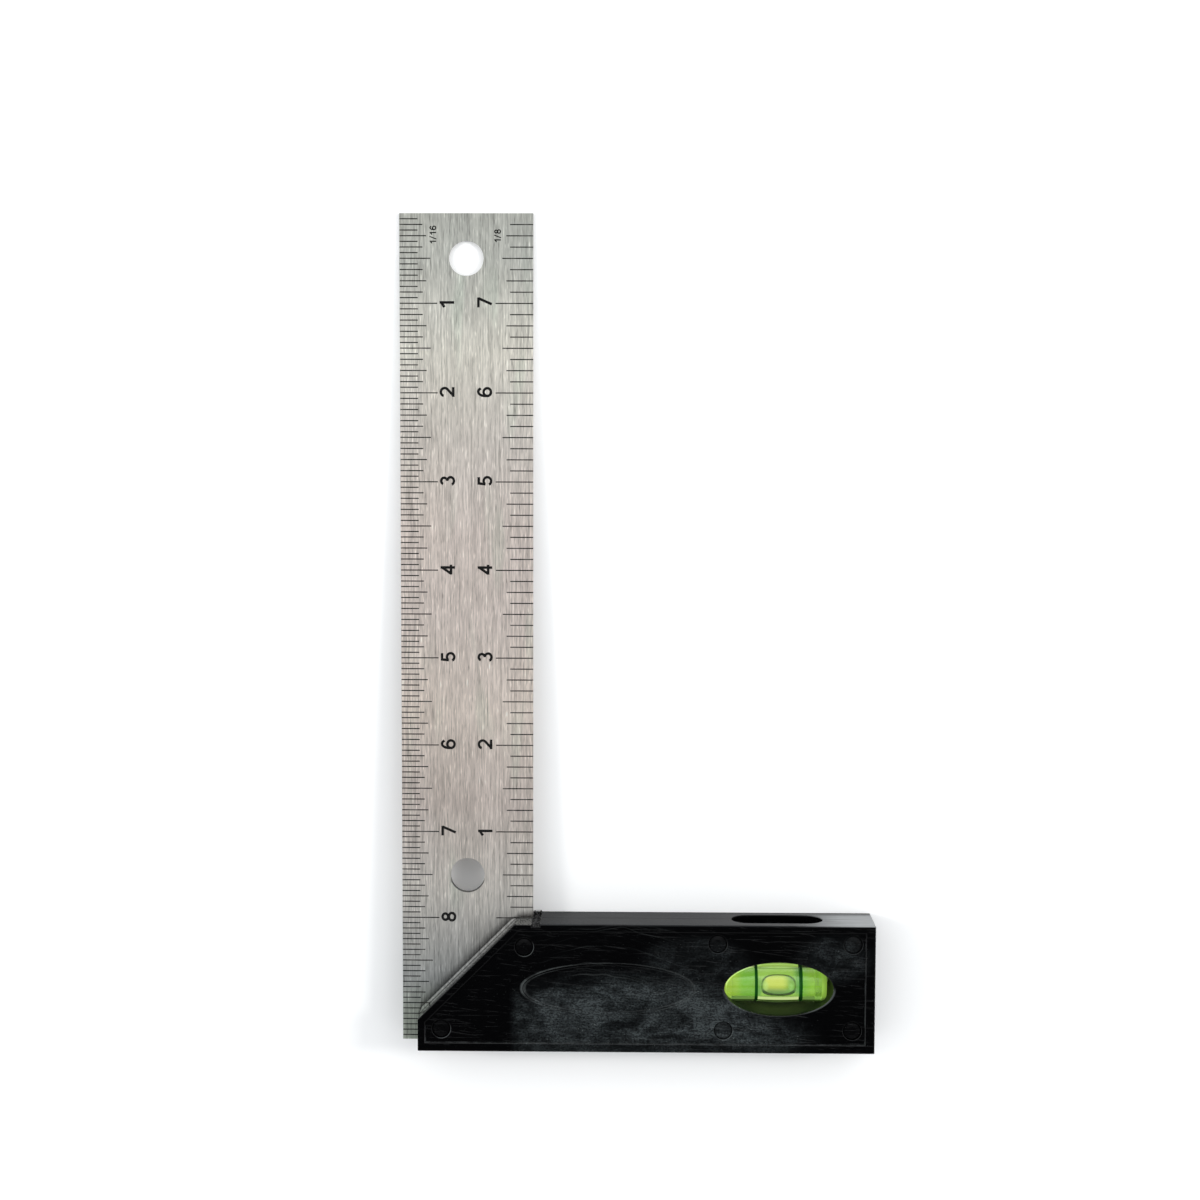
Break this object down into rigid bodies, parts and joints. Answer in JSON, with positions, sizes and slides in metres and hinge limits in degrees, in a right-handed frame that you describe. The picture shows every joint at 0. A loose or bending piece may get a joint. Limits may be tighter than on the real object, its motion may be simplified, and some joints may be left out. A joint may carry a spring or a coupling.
{
  "type": "try square",
  "caption": "Graduated steel blade set at a right angle in a moulded black handle with a mitred corner and a green bubble vial behind an oval window.",
  "frame": {"origin": "inside corner of the square, where the blade's inner edge meets the handle's inner edge, on the rear face of the handle", "axes": "+X along the handle away from the blade, +Y up the blade, +Z through the thickness towards the graduated face"},
  "size_m": [0.1371, 0.2407, 0.0165],
  "materials": {
    "blade_steel": "brushed lengthwise, etched lines filled with black",
    "handle_black": "glossy moulded black with fine scuffs",
    "pin_black": "black, slightly duller than the handle",
    "vial_clear": "clear polished acrylic",
    "spirit_green": "clear fluorescent yellow-green liquid",
    "bubble_clear": "clear",
    "ring_dark": "dark green printed band",
    "plug_lime": "lime green, translucent"
  },
  "bodies": {
    "square": {"blade": "blade_steel", "handle_front": "handle_black", "handle_rear": "handle_black", "pin_tang_inner": "pin_black", "pin_tang_outer": "pin_black", "pin_middle_inner": "pin_black", "pin_middle_outer": "pin_black", "pin_end_inner": "pin_black", "pin_end_outer": "pin_black", "vial_tube": "vial_clear", "vial_spirit": "spirit_green", "index_ring_left": "ring_dark", "index_ring_right": "ring_dark", "vial_plug_left": "plug_lime", "vial_plug_right": "plug_lime"},
    "bubble": {"vial_bubble": "bubble_clear"}
  },
  "joints": [
    {"name": "bubble_slide", "type": "slide", "parent": "square", "child": "bubble", "axis": [1, 0, 0], "range_m": [-0.0084, 0.0055]}
  ]
}
